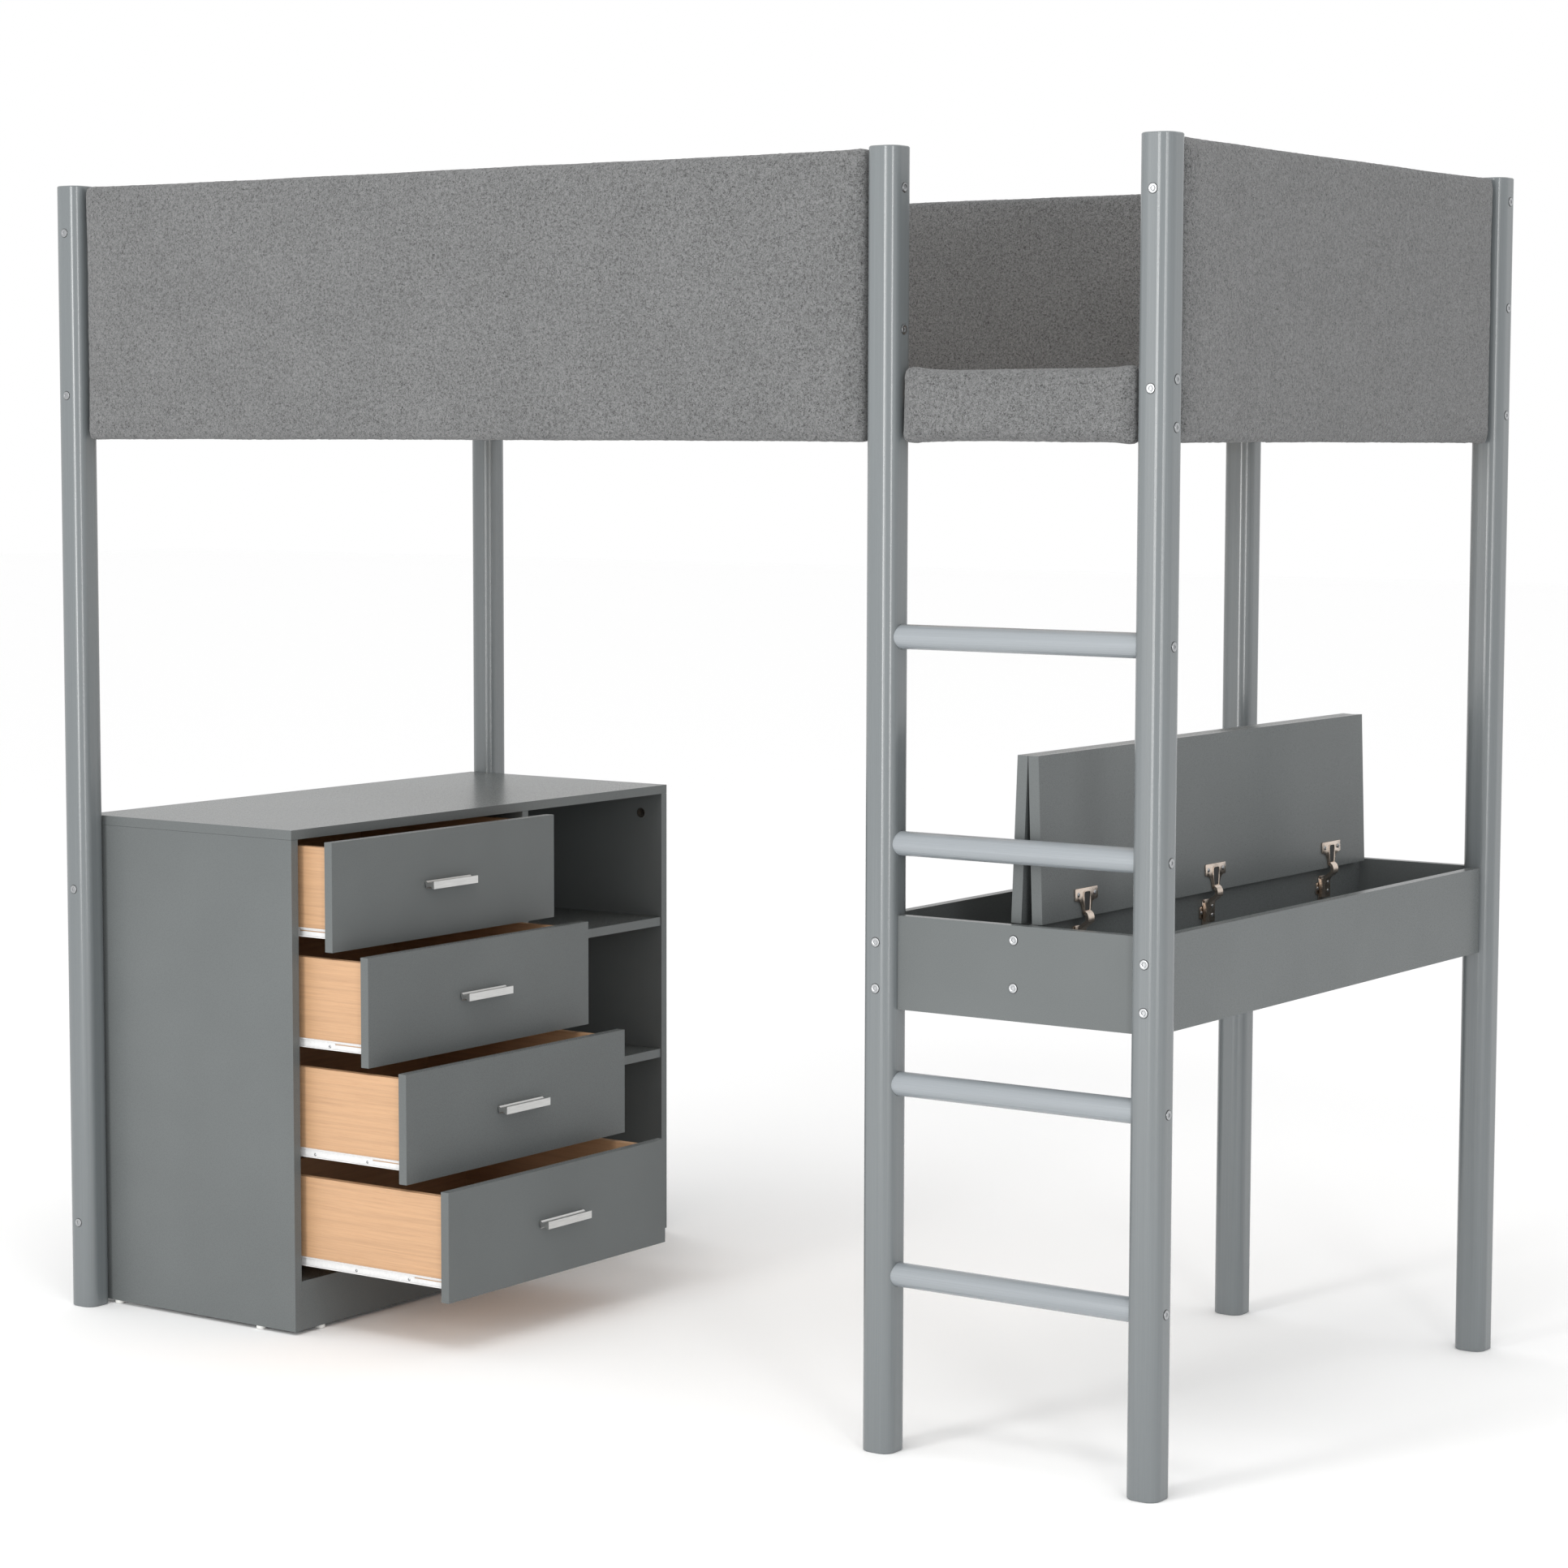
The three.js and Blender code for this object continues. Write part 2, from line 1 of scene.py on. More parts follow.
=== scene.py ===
"""Loft bed with desk: materials, padding, fittings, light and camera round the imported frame.

Metres, +Z up. +X runs along the bed towards the desk end, and -Y is the front.
"""

import math

import bmesh
import bpy
from mathutils import Matrix, Vector, noise


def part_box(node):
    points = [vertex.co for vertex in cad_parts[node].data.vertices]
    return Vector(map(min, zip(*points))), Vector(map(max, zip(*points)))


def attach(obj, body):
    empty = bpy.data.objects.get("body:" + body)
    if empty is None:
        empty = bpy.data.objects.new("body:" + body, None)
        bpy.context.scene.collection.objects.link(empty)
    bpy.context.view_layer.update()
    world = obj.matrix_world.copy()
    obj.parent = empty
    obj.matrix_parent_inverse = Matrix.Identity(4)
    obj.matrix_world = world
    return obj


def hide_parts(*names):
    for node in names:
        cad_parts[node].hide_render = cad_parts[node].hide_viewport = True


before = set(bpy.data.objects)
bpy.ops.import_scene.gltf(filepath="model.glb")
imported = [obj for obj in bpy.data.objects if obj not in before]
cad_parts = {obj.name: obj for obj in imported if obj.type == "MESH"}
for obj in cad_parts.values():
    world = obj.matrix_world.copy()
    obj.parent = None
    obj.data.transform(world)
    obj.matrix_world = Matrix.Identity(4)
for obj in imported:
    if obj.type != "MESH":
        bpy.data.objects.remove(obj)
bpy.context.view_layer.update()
MM = 0.001

# ---- places repeated from the frame's design ----

DESK_X = 769.5 * MM  # the desk divider's centre line
HINGE_Y = {"front": -370 * MM, "middle": 0.0, "back": 370 * MM}
PIVOT_X = 13.5754 * MM  # from the divider's centre line to a lid's pin
PIVOT_Z = 762.8925 * MM
LID_SWING = math.radians(92.0485)
LID_SHUT_EDGE = 1.3 * MM
LID_SHUT_UNDER = 752.4 * MM
CAB_SIDE = 472.2 * MM  # inner faces of the cabinet's sides
CAB_FRONT = -558 * MM
DIVISION_FACE = 83.5 * MM  # the division's face towards the drawers

# ---- camera ----

CAMERA_PLACE = (3.4015, -4.8462, 1.4030)
CAMERA_YAW = math.radians(34.81)
CAMERA_DOWN = math.radians(5.21)
CAMERA_ROLL = math.radians(0.15)
LENS = 87.1


def make_camera():
    data = bpy.data.cameras.new("camera")
    data.lens = LENS
    data.sensor_width = 36
    data.clip_start = 0.05
    camera = bpy.data.objects.new("camera", data)
    turn = Matrix.Rotation(CAMERA_YAW, 4, "Z")
    tilt = Matrix.Rotation(math.pi / 2 - CAMERA_DOWN, 4, "X")
    roll = Matrix.Rotation(CAMERA_ROLL, 4, "Z")
    camera.matrix_world = Matrix.Translation(CAMERA_PLACE) @ turn @ tilt @ roll
    bpy.context.scene.collection.objects.link(camera)
    bpy.context.scene.camera = camera


# ---- light and floor ----

WORLD_STRENGTH = 1.0
WORLD_COLOUR = (1.0, 1.0, 1.0, 1.0)
FLOOR_HALF = 30.0
FLOOR_COLOUR = (0.99, 0.99, 0.99)

# name: place, aimed at, width, height, watts
SOFTBOXES = {
    "softbox_front": ((-0.6, -5.4, 1.7), (0.2, 0, 0.9), 1.0, 3.0, 100),
    "softbox_side": ((4.8, -3.9, 1.6), (0.4, 0, 0.9), 0.8, 3.0, 62),
    "softbox_over": ((0.8, -3.0, 4.4), (0.2, -0.2, 1.2), 3.0, 1.0, 45),
}
LAMP_COLOUR = (1.0, 0.995, 0.985)


def make_softbox(name, place, target, width, height, watts):
    data = bpy.data.lights.new(name, "AREA")
    data.shape = "RECTANGLE"
    data.size = width
    data.size_y = height
    data.energy = watts
    data.color = LAMP_COLOUR
    lamp = bpy.data.objects.new(name, data)
    aim = Vector(target) - Vector(place)
    lamp.matrix_world = Matrix.Translation(place) @ aim.to_track_quat("-Z", "Y").to_matrix().to_4x4()
    bpy.context.scene.collection.objects.link(lamp)


def make_world():
    world = bpy.data.worlds.new("studio")
    world.use_nodes = True
    background = world.node_tree.nodes["Background"]
    background.inputs["Color"].default_value = WORLD_COLOUR
    background.inputs["Strength"].default_value = WORLD_STRENGTH
    bpy.context.scene.world = world
    bpy.context.scene.view_settings.view_transform = "Standard"


# ---- materials ----


class Surface:
    """A material with one Principled shader, and short ways to add the nodes that feed it."""

    def __init__(self, name, colour, roughness, metallic=0.0):
        self.material = bpy.data.materials.new(name)
        self.material.use_nodes = True
        self.material.diffuse_color = (*colour, 1.0)
        self.tree = self.material.node_tree
        self.shader = self.tree.nodes["Principled BSDF"]
        self.set("Base Color", (*colour, 1.0))
        self.set("Roughness", roughness)
        self.set("Metallic", metallic)
        self.place = self.tree.nodes.new("ShaderNodeTexCoord").outputs["Object"]

    def set(self, socket, value):
        self.shader.inputs[socket].default_value = value

    def link(self, output, socket):
        self.tree.links.new(output, socket)

    def stretched(self, scale):
        """Object coordinates, scaled along each axis."""
        mapping = self.tree.nodes.new("ShaderNodeMapping")
        mapping.inputs["Scale"].default_value = scale
        self.link(self.place, mapping.inputs["Vector"])
        return mapping.outputs["Vector"]

    def noise(self, scale, stretch=(1, 1, 1), detail=3.0, roughness=0.55, distortion=0.0):
        node = self.tree.nodes.new("ShaderNodeTexNoise")
        node.inputs["Scale"].default_value = scale
        node.inputs["Detail"].default_value = detail
        node.inputs["Roughness"].default_value = roughness
        node.inputs["Distortion"].default_value = distortion
        self.link(self.stretched(stretch), node.inputs["Vector"])
        return node.outputs["Fac"]

    def ramp(self, value, stops):
        """Colours at given values, blended between."""
        node = self.tree.nodes.new("ShaderNodeValToRGB")
        elements = node.color_ramp.elements
        while len(elements) < len(stops):
            elements.new(0.5)
        for element, (position, colour) in zip(elements, stops):
            element.position = position
            element.color = (*colour, 1.0)
        self.link(value, node.inputs["Fac"])
        return node.outputs["Color"]

    def blend(self, share, first, second, mode="MIX"):
        node = self.tree.nodes.new("ShaderNodeMix")
        node.data_type = "RGBA"
        node.blend_type = mode
        self.feed(node.inputs["Factor"], share)
        self.feed(node.inputs["A"], first, colour=True)
        self.feed(node.inputs["B"], second, colour=True)
        return node.outputs["Result"]

    def feed(self, socket, value, colour=False):
        if isinstance(value, bpy.types.NodeSocket):
            self.link(value, socket)
        else:
            socket.default_value = (*value, 1.0) if colour else value

    def sum(self, first, second, operation="ADD"):
        node = self.tree.nodes.new("ShaderNodeMath")
        node.operation = operation
        self.feed(node.inputs[0], first)
        self.feed(node.inputs[1], second)
        return node.outputs["Value"]

    def between(self, value, low, high):
        """A value from 0 to 1, spread between two numbers."""
        node = self.tree.nodes.new("ShaderNodeMapRange")
        node.inputs["To Min"].default_value = low
        node.inputs["To Max"].default_value = high
        self.link(value, node.inputs["Value"])
        return node.outputs["Result"]

    def bump(self, height, depth, strength=1.0):
        node = self.tree.nodes.new("ShaderNodeBump")
        node.inputs["Strength"].default_value = strength
        node.inputs["Distance"].default_value = depth
        self.link(height, node.inputs["Height"])
        self.link(node.outputs["Normal"], self.shader.inputs["Normal"])


def shade(colour, factor):
    return tuple(channel * factor for channel in colour)


PAINT = (0.142, 0.157, 0.163)
# the posts' grey paint made lighter for the rungs: a lit copy of the same paint, painted light
RUNG_PAINT_LIT = (0.254, 0.278, 0.295)
BOARD = (0.126, 0.136, 0.137)
CLOTH = (0.124, 0.126, 0.127)
BEECH = (0.51, 0.308, 0.172)
SLAT_WOOD = (0.40, 0.26, 0.14)
ALUMINIUM = (0.62, 0.62, 0.61)
NICKEL = (0.66, 0.56, 0.48)
ZINC = (0.40, 0.41, 0.42)
WHITE_STEEL = (0.66, 0.66, 0.66)
GLIDE_WHITE = (0.70, 0.70, 0.68)
# near black, for painted shade: the shadow ring round each bolt head and the dark mouth of each hinge cup
PAINTED_SHADE_DARK = (0.02, 0.02, 0.02)


def paint_surface(name, colour, along):
    """Brushed semi-gloss paint whose streaks run along one axis, 0 for X, 1 for Y, 2 for Z."""
    surface = Surface(name, colour, 0.30)
    across = [900.0 if axis != along else 4.0 for axis in range(3)]
    wide = [120.0 if axis != along else 1.6 for axis in range(3)]
    streaks = surface.noise(1.0, across, detail=3.0, roughness=0.6)
    bands = surface.noise(1.0, wide, detail=2.0)
    tone = surface.ramp(streaks, [(0.30, shade(colour, 0.95)), (0.55, colour), (0.75, shade(colour, 1.07))])
    cloud = surface.ramp(bands, [(0.3, (0.96, 0.96, 0.965)), (0.7, (1.0, 1.0, 1.0))])
    surface.link(surface.blend(1.0, tone, cloud, "MULTIPLY"), surface.shader.inputs["Base Color"])
    surface.link(surface.between(bands, 0.18, 0.26), surface.shader.inputs["Roughness"])
    surface.bump(surface.sum(streaks, bands), 0.04 * MM, 0.4)
    surface.set("Specular IOR Level", 0.75)
    return surface.material


def board_surface():
    """Melamine board: an almost even grey with a fine pressed texture."""
    surface = Surface("board", BOARD, 0.36)
    fine = surface.noise(900.0, detail=2.0)
    broad = surface.noise(5.0, detail=2.0)
    tone = surface.ramp(broad, [(0.3, shade(BOARD, 0.96)), (0.7, shade(BOARD, 1.04))])
    surface.link(tone, surface.shader.inputs["Base Color"])
    surface.link(surface.between(fine, 0.22, 0.34), surface.shader.inputs["Roughness"])
    surface.bump(fine, 0.05 * MM, 0.35)
    surface.set("Specular IOR Level", 0.16)
    return surface.material


def cloth_surface():
    """Curly pile: small raised curls, with the pile's colour darkened in the gaps as painted shade and
    lightened on the tips as painted light.
    """
    surface = Surface("boucle", CLOTH, 0.95)
    curls = surface.noise(520.0, detail=3.0, roughness=0.70, distortion=1.2)
    tufts = surface.noise(190.0, detail=2.0, roughness=0.5)
    patches = surface.noise(9.0, detail=2.0)
    height = surface.sum(surface.between(curls, 0.0, 1.0), surface.between(tufts, 0.05, 0.30))
    # the pile's colour by height: painted shade in the low gaps, painted light on the high tips
    pile_painted_light = surface.ramp(height, [
        (0.53, shade(CLOTH, 0.25)),
        (0.62, shade(CLOTH, 0.85)),
        (0.70, shade(CLOTH, 1.25)),
        (0.82, shade(CLOTH, 1.70)),
    ])
    cloud = surface.ramp(patches, [(0.35, (0.93, 0.93, 0.93)), (0.65, (1.0, 1.0, 1.0))])
    surface.link(surface.blend(1.0, pile_painted_light, cloud, "MULTIPLY"), surface.shader.inputs["Base Color"])
    surface.bump(height, 2.0 * MM, 0.7)
    surface.set("Sheen Weight", 0.2)
    surface.set("Sheen Roughness", 0.55)
    surface.set("Specular IOR Level", 0.15)
    return surface.material


def wood_surface(name, colour, stretch, roughness, contrast):
    """Grain drawn out along one axis, with fine pores in the same direction."""
    surface = Surface(name, colour, roughness)
    bands = surface.noise(1.0, stretch, detail=3.0, roughness=0.5, distortion=0.6)
    pores = surface.noise(6.0, stretch, detail=2.0, roughness=0.7)
    tone = surface.ramp(bands, [
        (0.32, shade(colour, 1 - contrast)),
        (0.50, colour),
        (0.68, tuple(min(channel * (1 + 0.6 * contrast), 0.95) for channel in colour)),
    ])
    fleck = surface.ramp(pores, [(0.34, (0.86, 0.80, 0.74)), (0.46, (1.0, 1.0, 1.0))])
    surface.link(surface.blend(0.6, tone, fleck, "MULTIPLY"), surface.shader.inputs["Base Color"])
    surface.bump(pores, 0.08 * MM, 0.4)
    return surface.material


def metal_surface(name, colour, roughness, stretch, spread=0.12, grain_depth=0.03):
    """Bare or plated metal with fine drawn lines."""
    surface = Surface(name, colour, roughness, metallic=1.0)
    lines = surface.noise(1.0, stretch, detail=3.0, roughness=0.6)
    tone = surface.ramp(lines, [(0.3, shade(colour, 0.88)), (0.7, shade(colour, 1.08))])
    surface.link(tone, surface.shader.inputs["Base Color"])
    surface.link(surface.between(lines, roughness - spread, roughness + spread),
                 surface.shader.inputs["Roughness"])
    surface.bump(lines, grain_depth * MM, 0.5)
    return surface.material


def plastic_surface(name, colour, roughness):
    """Moulded plastic or stoved enamel, with the slightest unevenness."""
    surface = Surface(name, colour, roughness)
    mottle = surface.noise(240.0, detail=2.0)
    tone = surface.ramp(mottle, [(0.3, shade(colour, 0.95)), (0.7, shade(colour, 1.03))])
    surface.link(tone, surface.shader.inputs["Base Color"])
    surface.bump(mottle, 0.05 * MM, 0.3)
    return surface.material


def make_materials():
    fine = (700.0, 40.0, 700.0)
    return {
        "paint_z": paint_surface("paint_upright", PAINT, 2),
        "paint_x": paint_surface("paint_rung", RUNG_PAINT_LIT, 0),
        "board": board_surface(),
        "cloth": cloth_surface(),
        "beech": wood_surface("beech", BEECH, (5.0, 5.0, 260.0), 0.42, 0.10),
        "slat": wood_surface("slat_wood", SLAT_WOOD, (160.0, 6.0, 160.0), 0.6, 0.18),
        "aluminium": metal_surface("aluminium", ALUMINIUM, 0.34, fine),
        "nickel": metal_surface("nickel", NICKEL, 0.24, (500.0, 500.0, 500.0), 0.08, 0.01),
        "zinc": metal_surface("zinc", ZINC, 0.30, (400.0, 400.0, 400.0), 0.10, 0.01),
        "steel": plastic_surface("white_steel", WHITE_STEEL, 0.35),
        "glide": plastic_surface("glide_white", GLIDE_WHITE, 0.5),
        # painted shade for the bolt rings and the hinge cup mouths
        "painted_shade": plastic_surface("painted_shade", PAINTED_SHADE_DARK, 0.6),
    }


# ---- the frame's own nodes ----

BOARD_EDGE = 0.5 * MM


def round_edges(piece, width, segments=2):
    """Breaks sharp edges with a modifier, which leaves the frame's mesh as it is."""
    bevel = piece.modifiers.new("edge", "BEVEL")
    bevel.width = width
    bevel.segments = segments
    bevel.limit_method = "ANGLE"
    bevel.angle_limit = math.radians(40)
    bevel.harden_normals = True


def node_finish(name, materials):
    """One CAD node's material, and how far its edges are broken."""
    if name.startswith("post_"):
        return materials["paint_z"], 0.0
    if name.startswith("rung_"):
        return materials["paint_x"], 0.0
    if name.startswith(("bed_rail_", "slat_roll")):
        return materials["slat"], BOARD_EDGE
    if name.endswith("_box"):
        return materials["beech"], BOARD_EDGE
    if name.endswith("_handle"):
        return materials["aluminium"], BOARD_EDGE / 2
    if name.startswith("hinge_"):
        return materials["nickel"], 0.0
    return materials["board"], BOARD_EDGE


def dress_frame(materials):
    for name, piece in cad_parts.items():
        material, edge = node_finish(name, materials)
        piece.data.materials.clear()
        piece.data.materials.append(material)
        if edge:
            round_edges(piece, edge)


# ---- building pieces ----

SHARP_ANGLE = math.radians(35)


def new_piece(name, bm, finish, body):
    """Turns a bmesh into a piece that rides on a body, with one material for each index it uses."""
    bmesh.ops.recalc_face_normals(bm, faces=bm.faces)
    data = bpy.data.meshes.new(name)
    bm.to_mesh(data)
    bm.free()
    for material in finish:
        data.materials.append(material)
    piece = bpy.data.objects.new(name, data)
    bpy.context.scene.collection.objects.link(piece)
    data.shade_smooth()
    data.set_sharp_from_angle(angle=SHARP_ANGLE)
    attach(piece, body)
    return piece


def facing(direction, place):
    """A matrix that carries +Z to a direction and the origin to a place."""
    turn = Vector(direction).to_track_quat("Z", "Y").to_matrix().to_4x4()
    return Matrix.Translation(place) @ turn


def hexagon_radius(angle, flat):
    """Distance from a hexagon's centre to its side in one direction."""
    sector = math.pi / 3
    return flat / math.cos(angle % sector - sector / 2)


def join_loops(bm, loops, material):
    """Skins loops of vertices, each joined to the next, and closes the first and the last."""
    faces = [bm.faces.new(loops[0]), bm.faces.new(loops[-1])]
    sides = len(loops[0])
    for low, high in zip(loops, loops[1:]):
        for i in range(sides):
            j = (i + 1) % sides
            faces.append(bm.faces.new((low[i], low[j], high[j], high[i])))
    for face in faces:
        face.material_index = material


def add_rings(bm, rings, place, sides=24, material=0):
    """Joins rings of vertices into a surface that is closed at both ends.

    Each ring is (radius, height, hexagonal), where a hexagonal ring's radius is to its flats.
    """
    loops = []
    for radius, height, hexagonal in rings:
        loop = []
        for i in range(sides):
            angle = 2 * math.pi * i / sides
            reach = hexagon_radius(angle, radius) if hexagonal else radius
            point = Vector((reach * math.cos(angle), reach * math.sin(angle), height))
            loop.append(bm.verts.new(place @ point))
        loops.append(loop)
    join_loops(bm, loops, material)


def add_prism(bm, outline, depth, place, edge=0.0, material=0):
    """An outline in X and Y raised along +Z by a depth, with its edges broken if asked."""
    part = bmesh.new()
    base = [part.verts.new((x, y, 0)) for x, y in outline]
    top = [part.verts.new((x, y, depth)) for x, y in outline]
    part.faces.new(base)
    part.faces.new(top)
    count = len(outline)
    for i in range(count):
        j = (i + 1) % count
        part.faces.new((base[i], base[j], top[j], top[i]))
    if edge:
        bmesh.ops.recalc_face_normals(part, faces=part.faces)
        bmesh.ops.bevel(part, geom=part.edges[:], offset=edge, segments=2, affect="EDGES", profile=0.5,
                        clamp_overlap=True)
    for face in part.faces:
        face.material_index = material
    part.transform(place)
    scratch = bpy.data.meshes.new("scratch")
    part.to_mesh(scratch)
    part.free()
    bm.from_mesh(scratch)
    bpy.data.meshes.remove(scratch)


def rectangle(low, high):
    return [(low[0], low[1]), (high[0], low[1]), (high[0], high[1]), (low[0], high[1])]


def add_block(bm, low, high, edge=0.0, material=0):
    """A box between two corners, with its edges broken if asked."""
    outline = rectangle(low[:2], high[:2])
    add_prism(bm, outline, high[2] - low[2], Matrix.Translation((0, 0, low[2])), edge, material)


# ---- bolts ----

BOLT_RADIUS = 6.3 * MM
BOLT_RISE = 1.3 * MM
SOCKET_FLAT = 2.6 * MM
SHADOW_RING = 7.1 * MM

# node, the direction its bolts face, their heights on the face's centre line
BOLTS = [
    ("post_front_right", (0, -1, 0), (1.724, 1.468, 0.718, 0.654)),
    ("post_front_right", (1, 0, 0), (1.480, 1.418, 1.134, 0.851, 0.518, 0.251)),
    ("post_front_middle", (1, 0, 0), (1.740, 1.550)),
    ("post_front_middle", (-1, 0, 0), (1.480, 1.418, 1.134, 0.851, 0.518, 0.251)),
    ("post_front_middle", (0, -1, 0), (0.715, 0.651)),
    ("post_front_left", (0, -1, 0), (1.722, 1.467, 0.680, 0.138)),
    ("post_front_left", (-1, 0, 0), (1.740, 1.550)),
    ("post_back_left", (0, 1, 0), (1.722, 1.467, 0.680, 0.138)),
    ("post_back_left", (-1, 0, 0), (1.740, 1.550)),
    ("post_back_middle", (0, 1, 0), (0.715, 0.651)),
    ("post_back_middle", (-1, 0, 0), (1.740, 1.550)),
    ("post_back_right", (1, 0, 0), (1.760, 1.601, 1.440)),
    ("post_back_right", (0, 1, 0), (1.724, 1.468, 0.718, 0.654)),
    ("desk_front", (0, -1, 0), (0.732, 0.667)),
    ("desk_back", (0, 1, 0), (0.732, 0.667)),
]


def add_bolt(bm, place):
    """A flat screw head with a hexagonal socket, in a thin dark ring of painted shadow."""
    add_rings(bm, [(SHADOW_RING, -0.5 * MM, False), (SHADOW_RING, 0.12 * MM, False)], place, material=1)
    rings = [
        (BOLT_RADIUS, 0.0, False),
        (BOLT_RADIUS, BOLT_RISE - 0.4 * MM, False),
        (BOLT_RADIUS - 0.25 * MM, BOLT_RISE - 0.1 * MM, False),
        (BOLT_RADIUS - 0.9 * MM, BOLT_RISE, False),
        (SOCKET_FLAT + 0.5 * MM, BOLT_RISE - 0.15 * MM, False),
        (SOCKET_FLAT, BOLT_RISE - 0.3 * MM, True),
        (SOCKET_FLAT, 0.2 * MM, True),
    ]
    add_rings(bm, rings, place)


def make_bolts(materials):
    by_node = {}
    for node, direction, heights in BOLTS:
        low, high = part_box(node)
        middle = (low + high) / 2
        reach = (high - low) / 2
        bm = by_node.setdefault(node, bmesh.new())
        for height in heights:
            outside = [middle[i] + direction[i] * reach[i] for i in range(2)]
            add_bolt(bm, facing(direction, (*outside, height)))
    for node, bm in by_node.items():
        new_piece(f"bolts_{node}", bm, [materials["zinc"], materials["painted_shade"]], "bed")


# ---- hinges ----

CUP_U = 22 * MM
LID_BORE = 17.45 * MM
COVER_FACE = -2.3 * MM  # the flange's outer face, from the lid's underside
COVER_THICK = 2.0 * MM
COVER_HALF = [
    (40, 29), (39, 30), (24, 30), (23, 29), (22, 20), (19.5, 15.5), (15, 13), (10, 11.5), (5, 10.5),
    (3.5, 9),
]
MOUTH_HALF = [(35, 5), (34, 7.6), (31, 8.6), (20, 8.4), (12, 7.4), (7, 6.8)]
MOUTH_THICK = 0.2 * MM
MOUTH_RISE = 0.15 * MM  # how far the dark mouth, a sheet of painted shade, and the rim's centre line stand off the flange
RIM_RISE = 0.2 * MM
RIM_RADIUS = 0.9 * MM
COVER_SCREW = (31.5 * MM, 22 * MM)
COVER_SCREW_RADIUS = 3.4 * MM
BASE_HALF_HIGH = 18.5 * MM
BASE_HALF_WIDE = 17 * MM
BASE_WAIST = 9 * MM
BASE_FACE = 7.8 * MM  # the divider's face, from its centre line
BASE_MIDDLE_Z = 718.5 * MM
BASE_THICK = 2 * MM
BASE_SCREW_Y = 13 * MM
CLAMP_HALF_HIGH, CLAMP_HALF_WIDE = 14 * MM, 4.6 * MM  # the block that the arm is screwed to
CLAMP_RISE = 9.6 * MM
ARM_SCREWS = (-9.5 * MM, 3.5 * MM)
ARM_SCREW_RISE = 12.6 * MM
EYE_RADIUS = 2.2 * MM
ARM_WIDE = 16 * MM
ARM_THICK = 1.2 * MM
CHEEK_DEEP = 4.5 * MM


def lid_place(side):
    """From the lid's own frame, u across it from the hinge edge and w up, to the open lid."""
    turn = Matrix.Rotation(0.0 if side == "right" else math.pi, 4, "Z")
    swing = Matrix.Rotation(-LID_SWING, 4, "Y")
    shut = Matrix.Translation((LID_SHUT_EDGE - PIVOT_X, 0, LID_SHUT_UNDER - PIVOT_Z))
    pin = Matrix.Translation((PIVOT_X, 0, PIVOT_Z))
    return Matrix.Translation((DESK_X, 0, 0)) @ turn @ pin @ swing @ shut


def add_screw(bm, place, radius=2.6 * MM, material=0):
    """A small domed screw head with a sunk drive."""
    rings = [
        (radius, -0.4 * MM, False),
        (radius, 0.3 * MM, False),
        (radius * 0.8, 0.8 * MM, False),
        (radius * 0.45, 1.0 * MM, False),
        (radius * 0.4, 0.4 * MM, False),
    ]
    add_rings(bm, rings, place, sides=16, material=material)


def add_tube(bm, points, radius, place, sides=10):
    """A round wire through points in X and Y, at one height."""
    loops = []
    last = len(points) - 1
    for i, point in enumerate(points):
        along = (points[min(i + 1, last)] - points[max(i - 1, 0)]).normalized()
        flank = Vector((-along.y, along.x, 0))
        loop = []
        for step in range(sides):
            angle = 2 * math.pi * step / sides
            offset = flank * (radius * math.cos(angle)) + Vector((0, 0, radius * math.sin(angle)))
            loop.append(bm.verts.new(place @ (point + offset)))
        loops.append(loop)
    join_loops(bm, loops, 0)


def mirrored(half):
    """A closed outline in metres from its +Y half in millimetres, given from the top down."""
    return [(u * MM, y * MM) for u, y in half + [(u, -y) for u, y in reversed(half)]]


def add_cup_cover(bm, place):
    """The flange of a hinge cup: screw wings, a funnel to the arm, and a rim round a dark mouth of painted
    shade.
    """
    disc = place @ Matrix.Translation((CUP_U, 0, 0))
    add_rings(bm, [(LID_BORE, 0, False), (LID_BORE, 2 * MM, False)], disc, sides=48, material=3)
    face = place @ Matrix.Translation((0, 0, COVER_FACE))
    add_prism(bm, mirrored(COVER_HALF), COVER_THICK, face, 0.4 * MM)
    mouth = mirrored(MOUTH_HALF)
    add_prism(bm, mouth, MOUTH_THICK, face @ Matrix.Translation((0, 0, -MOUTH_RISE)), material=1)
    half = len(MOUTH_HALF)
    rim = [Vector((u, y, 0)) for u, y in mouth[half - 1::-1] + mouth[:half - 1:-1]]
    add_tube(bm, rim, RIM_RADIUS, face @ Matrix.Translation((0, 0, -RIM_RISE)))
    flip = Matrix.Rotation(math.pi, 4, "X")
    for side in (-1, 1):
        screw = face @ Matrix.Translation((COVER_SCREW[0], side * COVER_SCREW[1], 0)) @ flip
        add_screw(bm, screw, COVER_SCREW_RADIUS, material=2)


def arm_path(side):
    """The arm's line from the pin to the foot of the plate, seen along Y, in the row frame."""
    points = [
        (12.6, 763.2), (21.0, 761.6), (27.0, 759.1), (31.2, 755.6), (33.0, 751.0), (33.0, 744.5),
        (28.5, 740.0), (21.5, 735.0), (19.8, 731.0), (19.8, 705.0),
    ]
    return [Vector((DESK_X + side * x * MM, 0, z * MM)) for x, z in points]


